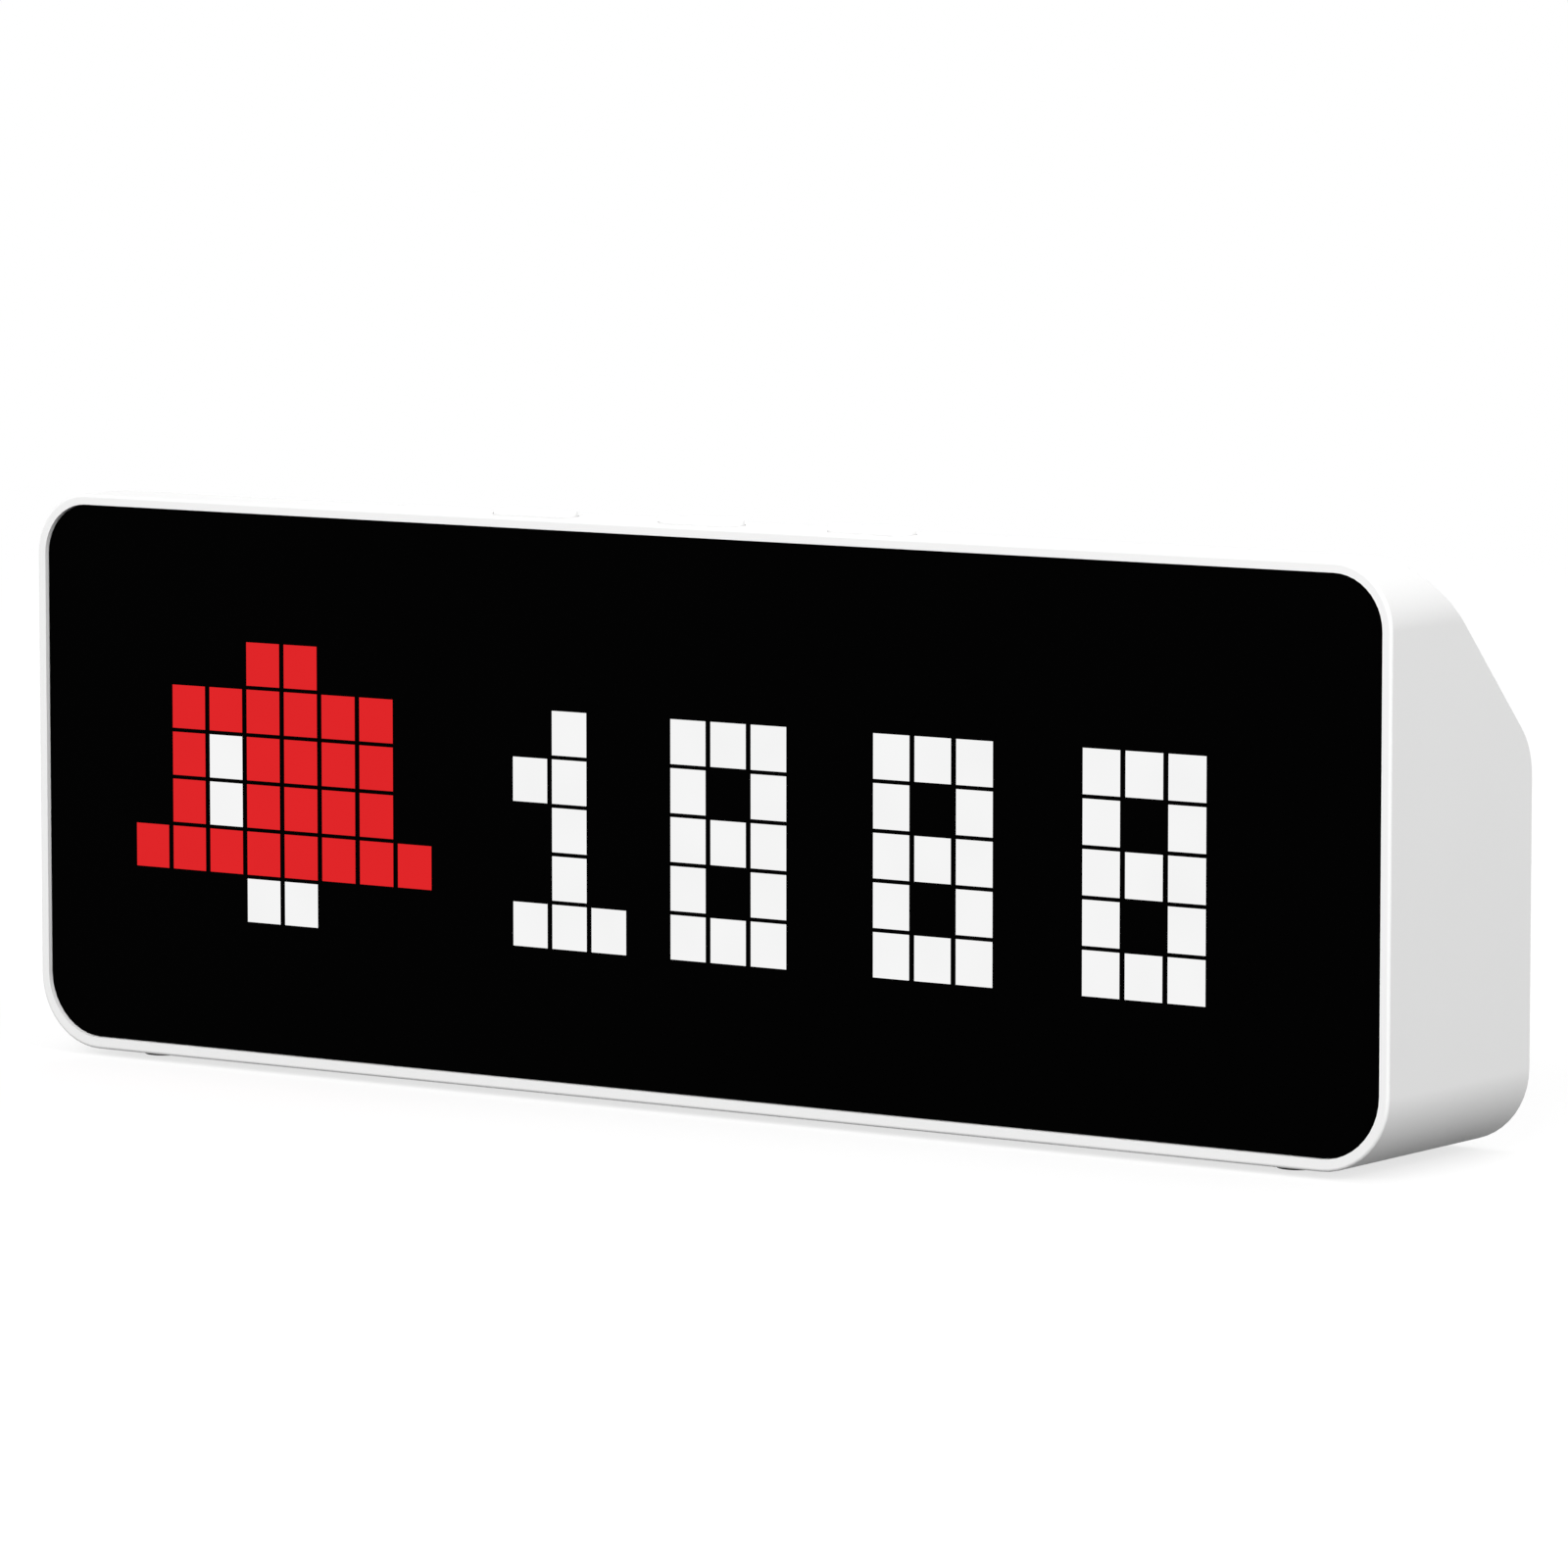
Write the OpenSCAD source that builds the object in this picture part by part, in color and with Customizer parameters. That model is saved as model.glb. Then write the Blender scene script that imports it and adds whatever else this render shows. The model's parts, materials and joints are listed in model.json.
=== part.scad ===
// Desk pixel clock: a one-piece white case with a sloped back, a black front panel over a
// matrix of lit pixels, three buttons on top, a power button and a charging socket behind.
// Millimetres. X runs along the clock, the front faces -Y, Z is up, and Z = 0 is the table.

/* [Pixel matrix] */
// Pixels in a row
columns = 32; // [26:1:38]
// Rows of pixels
rows = 8; // [7:1:10]
// Distance from one pixel to the next
pixel_pitch = 5.95; // [5.4:0.05:6.6]
// Thickness of the walls between pixels
pixel_wall = 0.5; // [0.3:0.05:0.8]
// Room between the case wall and the first pixel on the left
left_gap = 0.6; // [0.5:0.1:3]
// Room between the last pixel and the case wall on the right
right_gap = 4.4; // [0.5:0.1:6]
// Room between the lowest pixels and the case floor
bottom_band = 9.1; // [7:0.05:14]
// Width of one light source
led_w = 3.5; // [2:0.1:4.4]
// Height of one light source
led_h = 1.4; // [0.8:0.1:2.5]

/* [Case] */
// Thickness of the case wall
wall = 2.6; // [2:0.1:3.4]
// Radius of the upper corners seen from the front
upper_r = 7.8; // [7:0.1:9]
// Radius of the lower corners seen from the front
lower_r = 9.2; // [8:0.1:10]
// Width of the white rim at each end of the panel
rim_w = 1.25; // [0.9:0.05:1.7]
// Width of the rim above the panel
rim_top = 1.3; // [0.8:0.05:1.8]
// Width of the rim below the panel
rim_low = 1.45; // [1:0.05:2]
// Radius of the rim's front edge
edge_r = 0.4; // [0.2:0.05:0.6]
// Depth of the flat top, from the front to the slope
top_flat = 8.35; // [8.2:0.05:11]
// Angle of the sloped back, from level
slope = 45; // [40:1:50]
// Radius of the bend between the slope and the rear face
blend_r = 8.2; // [5:0.1:10]
// Room inside, from the light board to the rear wall
rear_room = 20.4; // [19:0.1:28]

/* [Front panel] */
// How far the panel lies behind the rim
panel_recess = 0.6; // [0.3:0.05:1.2]
// Thickness of the panel
panel_t = 1.8; // [1.2:0.1:2.4]
// Gap between the panel and the rim
panel_gap = 0.1; // [0.05:0.01:0.2]
// Thickness of the tape that holds the panel
tape_t = 0.2; // [0.1:0.02:0.28]
// Thickness of the diffusing film
film_t = 0.3; // [0.2:0.02:0.5]
// Depth of the walls between pixels
baffle_d = 5; // [4.6:0.1:6]
// Gap around the film, the baffle and the light board
stack_gap = 0.4; // [0.2:0.05:0.6]

/* [Boards and screws] */
// Thickness of every circuit board
board_t = 1.2; // [0.8:0.1:1.6]
// Diameter of a screw's thread
screw_d = 1.6; // [1.2:0.1:2]
// Diameter of a screw's head
screw_head_d = 3.2; // [2.6:0.1:3.6]
// Height of a screw's head
screw_head_h = 1.1; // [0.8:0.1:1.4]
// Gap around a screw's thread
screw_gap = 0.05; // [0.02:0.01:0.1]
// Length of thread below a board
screw_bite = 3; // [2:0.1:3.4]
// Radius of the posts that carry the light board
post_r = 2.5; // [2:0.1:3]
// Distance from the posts to the inside of the floor and the top
post_inset = 4.4; // [4:0.1:5]
// Distance from the outer posts to the inside of the end walls
post_end = 9.7; // [8:0.1:14]
// Gap between a screw head and the hole it sits in
head_gap = 0.5; // [0.3:0.05:0.8]

/* [Top buttons] */
// Distance between the top buttons
button_pitch = 25; // [22:0.5:32]
// Length of a top button
button_l = 12; // [9:0.5:14]
// Width of a top button
button_w = 3.6; // [3:0.1:4]
// How far a top button stands above the case
button_rise = 0.6; // [0.3:0.05:1]
// Gap around a button in its hole
button_gap = 0.2; // [0.15:0.01:0.3]
// How far the retaining flange reaches past a button
flange_reach = 1.2; // [0.8:0.1:1.8]
// Thickness of the retaining flange
flange_t = 0.9; // [0.6:0.05:1.4]
// Gap between the flange and the wall above it
flange_gap = 0.15; // [0.1:0.01:0.3]
// Height of a switch body
switch_h = 3; // [2.4:0.1:4]
// Width of a switch body
switch_w = 4; // [3.4:0.1:4.2]
// How far a plunger stands out of its switch
plunger_h = 0.8; // [0.7:0.05:1.2]
// How far a plunger reaches into its switch
plunger_in = 1.2; // [0.9:0.05:1.5]
// Diameter of a plunger
plunger_d = 2; // [1.4:0.1:2.6]
// Gap around a plunger in its switch
plunger_gap = 0.08; // [0.04:0.01:0.1]
// Room below the button board's screws
button_room = 1.55; // [1:0.05:3]
// Radius of the bosses that carry the button board
boss_r = 2; // [1.6:0.1:2.2]
// Gap between the outer buttons and those bosses
boss_gap = 1.6; // [0.8:0.1:3]
// Margin of the button board past its bosses
button_board_margin = 1.8; // [1:0.1:4]

/* [Power and sound] */
// Distance of the power button from the middle
power_x = 22; // [16:0.5:32]
// Diameter of the power button
power_d = 5.4; // [4:0.1:6]
// How far the power button lies below the rear face
power_recess = 0.2; // [0.1:0.05:0.8]
// Width of the power switch body
power_switch_w = 6; // [5:0.1:8]
// Depth of the power switch body
power_switch_d = 3.6; // [3:0.1:5]
// Height of the power switch body
power_switch_h = 3.6; // [3:0.1:4.4]
// Width of the charging socket
usb_w = 8.94; // [8.5:0.02:9.4]
// Height of the charging socket
usb_h = 3.26; // [3:0.02:3.6]
// Length of the charging socket
usb_l = 7.35; // [6.5:0.05:9]
// Thickness of the charging socket's shell
usb_t = 0.3; // [0.2:0.02:0.4]
// Gap between the charging socket and the case
usb_gap = 0.25; // [0.15:0.01:0.4]
// How far the charging socket lies below the rear face
usb_recess = 0.3; // [0.1:0.05:1]
// Width of the socket's contact tongue
tongue_w = 6.7; // [6:0.1:7]
// Thickness of the contact tongue
tongue_t = 0.7; // [0.5:0.05:0.9]
// Free length of the contact tongue
tongue_l = 4.4; // [3.5:0.1:5]
// Length of the block that carries the tongue
tongue_base_l = 1.9; // [1.2:0.1:2.1]
// Gap between that block and the shell
tongue_gap = 0.05; // [0.02:0.01:0.1]
// Distance of the buzzer from the middle
buzzer_x = 24; // [18:0.5:30]
// Diameter of the buzzer
buzzer_d = 9; // [7:0.1:12]
// Height of the buzzer
buzzer_h = 5.5; // [3:0.1:8]
// Diameter of a sound hole
sound_hole_d = 1.2; // [0.8:0.1:1.6]
// Sound holes around the middle one
sound_holes = 6; // [5:1:8]
// Radius of the ring of sound holes
sound_ring_r = 2.6; // [2.2:0.1:3.2]

/* [Main board] */
// Length of the main board
main_w = 112; // [104:1:126]
// Gap between the light board and the main board
main_front_gap = 0.4; // [0.2:0.05:0.45]
// Gap between the main board and the rear wall
main_rear_gap = 1.9; // [1.8:0.1:2.4]
// Width of the lugs that carry the main board
lug_w = 8; // [6:0.5:12]
// Length of those lugs
lug_l = 8; // [7:0.5:11]
// Thickness of those lugs
lug_t = 3; // [2.4:0.1:4]
// Distance from the board's end to the middle of a lug
lug_inset = 7; // [6:0.5:8]
// Length of the radio module's board
radio_w = 18; // [15:0.5:20]
// Width of the radio module's board
radio_d = 13; // [11:0.5:14]
// Thickness of the radio module's board
radio_t = 0.8; // [0.6:0.05:1.2]
// Distance from the right lug's middle to the radio module's end
radio_end = 4; // [3:0.1:8]
// Bare edge of the main board in front of the radio module
radio_margin = 0.6; // [0.2:0.1:1]
// Length of the radio's metal can
can_w = 12; // [10:0.5:14]
// Height of the radio's metal can
can_h = 1.8; // [1.4:0.1:3]
// Bare edge of the radio board around its can
can_margin = 0.8; // [0.5:0.1:1.2]
// Width of a chip
chip_w = 5; // [4:0.1:6]
// Height of a chip
chip_h = 0.9; // [0.6:0.1:1.4]
// Distance between chips
chip_pitch = 9; // [8:0.5:10]
// Width of the climate sensor
climate_w = 4; // [3:0.1:5]
// Height of the climate sensor
climate_h = 1.6; // [1:0.1:3]
// Distance from the left lug's middle to the climate sensor's middle
climate_end = 11; // [8:0.5:12]
// Width of a vent slot
vent_w = 1.2; // [0.8:0.1:1.6]
// Height of a vent slot
vent_h = 7; // [5:0.5:9]
// Distance between vent slots
vent_pitch = 2.6; // [2.2:0.1:3.2]
// Number of vent slots
vents = 4; // [2:1:5]

/* [Ribbons] */
// Width of a ribbon cable
ribbon_w = 10; // [6:0.5:12]
// Thickness of a ribbon cable
ribbon_t = 0.3; // [0.2:0.02:0.4]
// How far the ribbons hang behind the light board
ribbon_offset = 1.6; // [1.45:0.05:1.8]
// Length of the ribbon to the light board
ribbon_l = 12; // [6:0.5:16]
// Length of the ribbon to the button board
button_ribbon_l = 8; // [4:0.5:12]
// Depth of a ribbon connector
connector_t = 2.2; // [2.1:0.05:2.4]
// Height of a ribbon connector
connector_h = 2; // [1.6:0.1:2.6]
// How far a connector reaches past its ribbon at each side
connector_reach = 1.5; // [1:0.1:2.5]

/* [Battery] */
// Length of the battery pack
battery_l = 120; // [90:1:136]
// Height of the battery pack
battery_h = 15; // [12:0.5:17]
// Depth of the battery pack
battery_t = 14; // [11:0.5:15]
// Radius of the battery pack's edges
battery_r = 3; // [1.5:0.5:5]
// Thickness of the tray's walls and base
tray_t = 1; // [0.8:0.1:1.6]
// Height of the tray's walls above its base
tray_h = 6; // [4:0.5:10]
// Gap between the pack and its tray
tray_gap = 0.2; // [0.1:0.02:0.4]
// Room between the pack and the main board's lugs
battery_room = 1.5; // [1:0.1:4]
// Diameter of a battery wire
wire_d = 1.2; // [0.8:0.1:1.6]
// Distance between the battery wires
wire_pitch = 2.5; // [2:0.1:4]
// Length of the battery connector
battery_socket_w = 7; // [6:0.1:9]
// Depth of the battery connector
battery_socket_d = 4; // [3:0.1:6]
// Height of the battery connector
battery_socket_h = 2; // [1.5:0.1:2.8]
// Distance of the battery connector from the middle
battery_socket_x = 20; // [10:0.5:30]

/* [Feet] */
// Height of the feet below the case
foot_h = 0.7; // [0.4:0.05:2]
// Diameter of a foot
foot_d = 5.2; // [4:0.1:6]
// Radius of a foot's lower edge
foot_round = 0.3; // [0.2:0.05:0.5]
// Distance from a foot's middle to the end of the case
foot_end = 15.6; // [13:0.1:24]
// Distance from a foot's middle to the front or the rear
foot_edge = 5.6; // [4.4:0.1:9]
// Depth of the pocket that holds a foot
foot_pocket = 0.4; // [0.2:0.05:0.8]
// Gap around a foot in its pocket
foot_gap = 0.1; // [0.05:0.01:0.3]

/* [Light sensor] */
// Width of the light sensor
sensor_w = 2; // [1.5:0.1:3]
// Height of the light sensor
sensor_h = 0.8; // [0.5:0.1:1.2]
// Distance from the right post's middle to the light sensor's middle
sensor_end = 18; // [8:0.5:24]

/* [Hidden] */
$fn = 64;
over = 1;

// Depths, measured back from the front of the rim
panel_back = panel_recess + panel_t;
seat = panel_back + tape_t;
film_back = panel_back + film_t;
baffle_back = film_back + baffle_d;
light_back = baffle_back + board_t;
inner_rear = light_back + rear_room;
body_d = inner_rear + wall;

// Heights and the case's outer size
top_band = flange_gap + flange_t + plunger_h + switch_h + board_t + screw_head_h + button_room;
matrix_w = columns * pixel_pitch;
matrix_h = rows * pixel_pitch;
body_w = 2 * wall + matrix_w + left_gap + right_gap;
body_h = 2 * wall + bottom_band + matrix_h + top_band;
bottom = foot_h;
top = bottom + body_h;
floor_z = bottom + wall;
ceiling_z = top - wall;
inner_w = body_w - 2 * wall;
front_y = -body_d / 2;

// The pixel matrix
matrix_x = (left_gap - right_gap) / 2;
matrix_z = floor_z + bottom_band + matrix_h / 2;
cell = pixel_pitch - pixel_wall;
function cell_x(c) = matrix_x + (c - (columns - 1) / 2) * pixel_pitch;
function cell_z(r) = matrix_z + (r - (rows - 1) / 2) * pixel_pitch;

// Where the slope starts, ends and lies, on the skin or a distance inside it
function flat_at(inset) = top_flat - inset * tan(slope / 2);
function slope_z(depth, inset) = top - inset - max(0, depth - flat_at(inset)) * tan(slope);
function slope_depth(z, inset) = flat_at(inset) + (top - inset - z) / tan(slope);

// Buttons on top
button_d = (film_back + flat_at(wall)) / 2;
button_x = [-button_pitch, 0, button_pitch];
flange_top = ceiling_z - flange_gap;
switch_top = flange_top - flange_t - plunger_h;
button_board_top = switch_top - switch_h;
button_board_bottom = button_board_top - board_t;
button_board_rear = slope_depth(button_board_top, wall) - stack_gap;
boss_x = button_pitch + button_l / 2 + flange_reach + boss_gap + boss_r;
button_board_w = 2 * (boss_x + boss_r + button_board_margin);
notch_w = button_board_w + 2 * stack_gap;
notch_z = matrix_z + matrix_h / 2 + pixel_wall;

// Screw holes, and the light board's screws
hole_r = screw_d / 2 + screw_gap;
light_top = slope_z(light_back, wall) - stack_gap;
post_top_z = ceiling_z - post_inset;
post_bottom_z = floor_z + post_inset;
post_end_x = inner_w / 2 - post_end;
post_mid_x = notch_w / 2 + post_r + stack_gap;
posts = [
    for (x = [-post_end_x, -post_mid_x, post_mid_x, post_end_x]) [x, post_top_z],
    for (x = [-post_end_x, post_end_x]) [x, post_bottom_z]
];
sensor_x = post_end_x - sensor_end;
sensor_z = (ceiling_z + notch_z) / 2;

// Battery and main board
battery_z = floor_z + tray_t;
battery_top = battery_z + battery_h;
battery_d = (light_back + inner_rear) / 2;
main_bottom = battery_top + battery_room + lug_t;
main_top = main_bottom + board_t;
main_front = light_back + main_front_gap;
main_rear = inner_rear - main_rear_gap;
main_mid = (main_front + main_rear) / 2;
lug_x = main_w / 2 - lug_inset;
lug_front = inner_rear - lug_l;
lug_screw_d = (lug_front + main_rear) / 2;
lug_bite = lug_t - stack_gap;
radio_x = lug_x - radio_end - radio_w / 2;
radio_mid = main_front + radio_margin + radio_d / 2;
climate_x = lug_x - climate_end;

// Ribbons and their connectors
ribbon_d = light_back + ribbon_offset;
connector_w = ribbon_w + 2 * connector_reach;
ribbon_bottom = main_top + connector_h;
button_ribbon_top = button_board_bottom - connector_h;

// Power button, charging socket, sound and vents
power_z = main_top + power_switch_h / 2;
power_flange_rear = inner_rear - flange_gap;
power_switch_rear = power_flange_rear - flange_t - plunger_h;
usb_rear = body_d - usb_recess;
usb_front = usb_rear - usb_l;
usb_z = main_top + usb_h / 2;
sound_z = main_top + buzzer_h / 2;
climate_d = main_rear - climate_w / 2 - stack_gap;
vent_z = main_top + vent_h / 2;

// Feet
foot_x = body_w / 2 - foot_end;
foot_front_d = foot_edge;
foot_rear_d = body_d - foot_edge;

// An outline of X and Z, made solid between two depths
module slab(from, to) {
    translate([0, front_y + to, 0])
        rotate([90, 0, 0])
            linear_extrude(to - from) children();
}

// A box given by its middle in X, its depths and its heights
module block(x, w, from, to, low, high) {
    translate([x - w / 2, front_y + from, low])
        cube([w, to - from, high - low]);
}

// A rounded rectangle across the clock, between two heights, with a radius below and one above
module plate(w, low, high, r_low, r_high) {
    translate([-w / 2 + r_low, low]) square([w - 2 * r_low, high - r_high - low]);
    translate([-w / 2 + r_high, low + r_low]) square([w - 2 * r_high, high - r_low - low]);
    translate([-w / 2, low + r_low]) square([w, high - r_high - low - r_low]);
    for (side = [-1, 1]) {
        translate([side * (w / 2 - r_low), low + r_low]) circle(r_low);
        translate([side * (w / 2 - r_high), high - r_high]) circle(r_high);
    }
}

// The case's outline from the front, a distance inside its skin and up to a height
module inner_outline(inset, high) {
    plate(body_w - 2 * inset, bottom + inset, high, lower_r - inset, upper_r - inset);
}

// A bar with round ends, centred
module pill(l, w) {
    square([l - w, w], center = true);
    for (x = [-1, 1])
        translate([x * (l - w) / 2, 0]) circle(d = w);
}

// A round bar along the depth
module depth_bar(x, z, from, to, r) {
    translate([x, front_y + to, z])
        rotate([90, 0, 0]) cylinder(r = r, h = to - from);
}

// The case seen from its end, drawn a distance inside its skin
module side_profile(inset) {
    r = blend_r - inset;
    rear = body_d - inset;
    flat = flat_at(inset);
    high = top - inset;
    bend_z = high - (rear - flat) * tan(slope);
    reach = r * tan((90 - slope) / 2);
    polygon([
        [-over, bottom + inset],
        [rear, bottom + inset],
        [rear, bend_z - reach],
        [rear - reach * cos(slope), bend_z + reach * sin(slope)],
        [flat, high],
        [-over, high]
    ]);
    translate([rear - r, bend_z - reach]) circle(r);
}

module profile_solid(inset, w) {
    translate([0, front_y, 0])
        rotate([90, 0, 90])
            linear_extrude(w, center = true) side_profile(inset);
}

// The case wall's section, outward from the middle of a corner, with its round front edge
module edge_section(r) {
    square([r - edge_r, body_d]);
    translate([0, edge_r]) square([r, body_d - edge_r]);
    translate([r - edge_r, edge_r]) circle(edge_r);
}

// One of the case's four corners, turned to its quarter
module front_corner(quarter, r, z) {
    side = sign(cos(quarter + 45));
    translate([side * (body_w / 2 - r), 0, z])
        rotate([-90, 0, 0])
            rotate(quarter) rotate_extrude(angle = 90) edge_section(r);
}

// The front outline made solid, with a round front edge: four sides, four corners and a core
module rounded_front() {
    low = bottom + lower_r;
    high = top - upper_r;
    upper_x = body_w / 2 - upper_r;
    lower_x = body_w / 2 - lower_r;
    translate([0, front_y, 0]) {
        translate([upper_x, 0, low]) linear_extrude(high - low) edge_section(upper_r);
        translate([-upper_x, 0, high])
            rotate([0, 180, 0]) linear_extrude(high - low) edge_section(upper_r);
        translate([upper_x, 0, high])
            rotate([0, -90, 0]) linear_extrude(2 * upper_x) edge_section(upper_r);
        translate([-lower_x, 0, low])
            rotate([0, 90, 0]) linear_extrude(2 * lower_x) edge_section(lower_r);
        for (quarter = [0, 90]) front_corner(quarter, lower_r, low);
        for (quarter = [180, 270]) front_corner(quarter, upper_r, high);
        translate([-upper_x, 0, low]) cube([2 * upper_x, body_d, high - low]);
    }
}

module case_skin() {
    intersection() {
        rounded_front();
        profile_solid(0, body_w + 2 * over);
    }
}

module case_cavity() {
    intersection() {
        slab(-over, body_d)
            inner_outline(wall, ceiling_z);
        profile_solid(wall, body_w);
    }
}

// Posts, bosses and lugs that stand on the inside of the case
module case_mounts() {
    for (p = posts)
        depth_bar(p[0], p[1], light_back, light_back + screw_bite + wall, post_r);
    for (side = [-1, 1]) {
        block(side * post_end_x, 2 * post_r, light_back, light_back + screw_bite + wall,
            floor_z - wall / 2, post_bottom_z);
        translate([side * boss_x, front_y + button_d, button_board_top])
            cylinder(r = boss_r, h = ceiling_z + wall / 2 - button_board_top);
        block(side * lug_x, lug_w, lug_front, inner_rear + wall / 2, main_bottom - lug_t, main_bottom);
    }
    for (p = posts)
        if (p[1] == post_top_z)
            block(p[0], 2 * post_r, light_back, light_back + screw_bite + wall,
                p[1], ceiling_z + wall / 2);
}

module case_screw_holes() {
    for (p = posts)
        depth_bar(p[0], p[1], light_back - over, light_back + screw_bite + screw_gap, hole_r);
    for (side = [-1, 1]) {
        translate([side * boss_x, front_y + button_d, button_board_top - over])
            cylinder(r = hole_r, h = screw_bite + screw_gap + over);
        translate([side * lug_x, front_y + lug_screw_d, main_bottom - lug_bite - screw_gap])
            cylinder(r = hole_r, h = lug_bite + screw_gap + over);
    }
}

// Holes in the rear wall for power, charging, sound and air
module rear_openings() {
    depth_bar(power_x, power_z, inner_rear - over, body_d + over, power_d / 2 + button_gap);
    slab(inner_rear - over, body_d + over)
        translate([0, usb_z]) pill(usb_w + 2 * usb_gap, usb_h + 2 * usb_gap);
    depth_bar(-buzzer_x, sound_z, inner_rear - over, body_d + over, sound_hole_d / 2);
    for (i = [0 : sound_holes - 1])
        depth_bar(-buzzer_x + sound_ring_r * cos(i * 360 / sound_holes),
            sound_z + sound_ring_r * sin(i * 360 / sound_holes),
            inner_rear - over, body_d + over, sound_hole_d / 2);
    for (i = [0 : vents - 1])
        slab(inner_rear - over, body_d + over)
            translate([-climate_x + (i - (vents - 1) / 2) * vent_pitch, vent_z])
                rotate(90) pill(vent_h, vent_w);
}

// The panel's outline, a distance inside its pocket
module panel_outline(gap) {
    plate(body_w - 2 * (rim_w + gap), bottom + rim_low + gap, top - rim_top - gap,
        lower_r - rim_w - gap, upper_r - rim_w - gap);
}

module housing() {
    color("white")
        difference() {
            union() {
                difference() {
                    case_skin();
                    case_cavity();
                }
                intersection() {
                    case_skin();
                    case_mounts();
                }
            }
            slab(-over, seat) panel_outline(0);
            case_screw_holes();
            rear_openings();
            for (x = button_x)
                translate([x, front_y + button_d, ceiling_z - over])
                    linear_extrude(wall + 2 * over)
                        pill(button_l + 2 * button_gap, button_w + 2 * button_gap);
            for (x = [-foot_x, foot_x])
                for (d = [foot_front_d, foot_rear_d])
                    translate([x, front_y + d, bottom - over])
                        cylinder(d = foot_d + 2 * foot_gap, h = foot_pocket + over);
        }
}

module front_panel() {
    color([0.02, 0.02, 0.02])
        slab(panel_recess, panel_back) panel_outline(panel_gap);
}

module panel_tape() {
    color("dimgray")
        slab(panel_back, seat)
            difference() {
                panel_outline(panel_gap);
                inner_outline(wall, ceiling_z);
            }
}

module diffuser_film() {
    color("ivory")
        slab(panel_back, film_back) inner_outline(wall + stack_gap, ceiling_z - stack_gap);
}

// The space that the button board takes out of the baffle and the light board
module button_notch() {
    translate([-notch_w / 2, notch_z]) square([notch_w, body_h]);
}

module pixel_baffle() {
    baffle_top = slope_z(baffle_back, wall) - stack_gap;
    color([0.1, 0.1, 0.1])
        slab(film_back, baffle_back)
            difference() {
                inner_outline(wall + stack_gap, baffle_top);
                for (c = [0 : columns - 1])
                    for (r = [0 : rows - 1])
                        translate([cell_x(c), cell_z(r)]) square(cell, center = true);
                for (p = posts)
                    translate(p) circle(d = screw_head_d + 2 * head_gap);
                translate([sensor_x, sensor_z]) square(sensor_w + 2 * head_gap, center = true);
                button_notch();
            }
}

module light_board() {
    color("darkgreen")
        slab(baffle_back, light_back)
            difference() {
                inner_outline(wall + stack_gap, light_top);
                for (p = posts)
                    translate(p) circle(r = hole_r);
                button_notch();
            }
}

module leds() {
    color("white")
        for (c = [0 : columns - 1])
            for (r = [0 : rows - 1])
                block(cell_x(c), led_w, baffle_back - led_h, baffle_back,
                    cell_z(r) - led_w / 2, cell_z(r) + led_w / 2);
}

module light_sensor() {
    color("gold")
        block(sensor_x, sensor_w, baffle_back - sensor_h, baffle_back,
            sensor_z - sensor_w / 2, sensor_z + sensor_w / 2);
}

// A screw standing on its thread, with its head's underside at height zero
module screw(bite) {
    cylinder(d = screw_head_d, h = screw_head_h);
    translate([0, 0, -bite - board_t]) cylinder(d = screw_d, h = bite + board_t);
}

module light_board_screws() {
    color("silver")
        for (p = posts)
            translate([p[0], front_y + baffle_back, p[1]])
                rotate([90, 0, 0]) screw(screw_bite);
}

module button_board_screws() {
    color("silver")
        for (x = [-boss_x, boss_x])
            translate([x, front_y + button_d, button_board_bottom])
                rotate([180, 0, 0]) screw(screw_bite);
}

module main_board_screws() {
    color("silver")
        for (x = [-lug_x, lug_x])
            translate([x, front_y + lug_screw_d, main_top]) screw(lug_bite);
}

module top_button(i) {
    color("white")
        translate([button_x[i], front_y + button_d, flange_top]) {
            translate([0, 0, -flange_t])
                linear_extrude(flange_t) pill(button_l + 2 * flange_reach, button_w);
            linear_extrude(top + button_rise - flange_top) pill(button_l, button_w);
        }
}

module top_plunger(i) {
    color("dimgray")
        translate([button_x[i], front_y + button_d, switch_top - plunger_in])
            cylinder(d = plunger_d, h = plunger_in + plunger_h);
}

module top_switch(i) {
    color("silver")
        difference() {
            block(button_x[i], switch_w, button_d - switch_w / 2, button_d + switch_w / 2,
                button_board_top, switch_top);
            translate([button_x[i], front_y + button_d, switch_top - plunger_in - plunger_h])
                cylinder(r = plunger_d / 2 + plunger_gap, h = plunger_in + plunger_h + over);
        }
}

module button_board() {
    color("darkgreen")
        difference() {
            block(0, button_board_w, film_back + stack_gap, button_board_rear,
                button_board_bottom, button_board_top);
            for (x = [-boss_x, boss_x])
                translate([x, front_y + button_d, button_board_bottom - over])
                    cylinder(r = hole_r, h = board_t + 2 * over);
        }
}

// A ribbon hanging between two heights
module ribbon(low, high) {
    color("white")
        block(0, ribbon_w, ribbon_d - ribbon_t / 2, ribbon_d + ribbon_t / 2, low, high);
}

// A ribbon connector that stands on a level board
module board_connector(low) {
    color("ivory")
        block(0, connector_w, ribbon_d - connector_t / 2, ribbon_d + connector_t / 2,
            low, low + connector_h);
}

// A ribbon connector on the back of the light board
module back_connector(low) {
    color("ivory")
        block(0, connector_w, light_back, light_back + connector_t, low, low + connector_h);
}

module main_board() {
    color("darkgreen")
        difference() {
            block(0, main_w, main_front, main_rear, main_bottom, main_top);
            for (x = [-lug_x, lug_x])
                translate([x, front_y + lug_screw_d, main_bottom - over])
                    cylinder(r = hole_r, h = board_t + 2 * over);
        }
}

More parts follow.
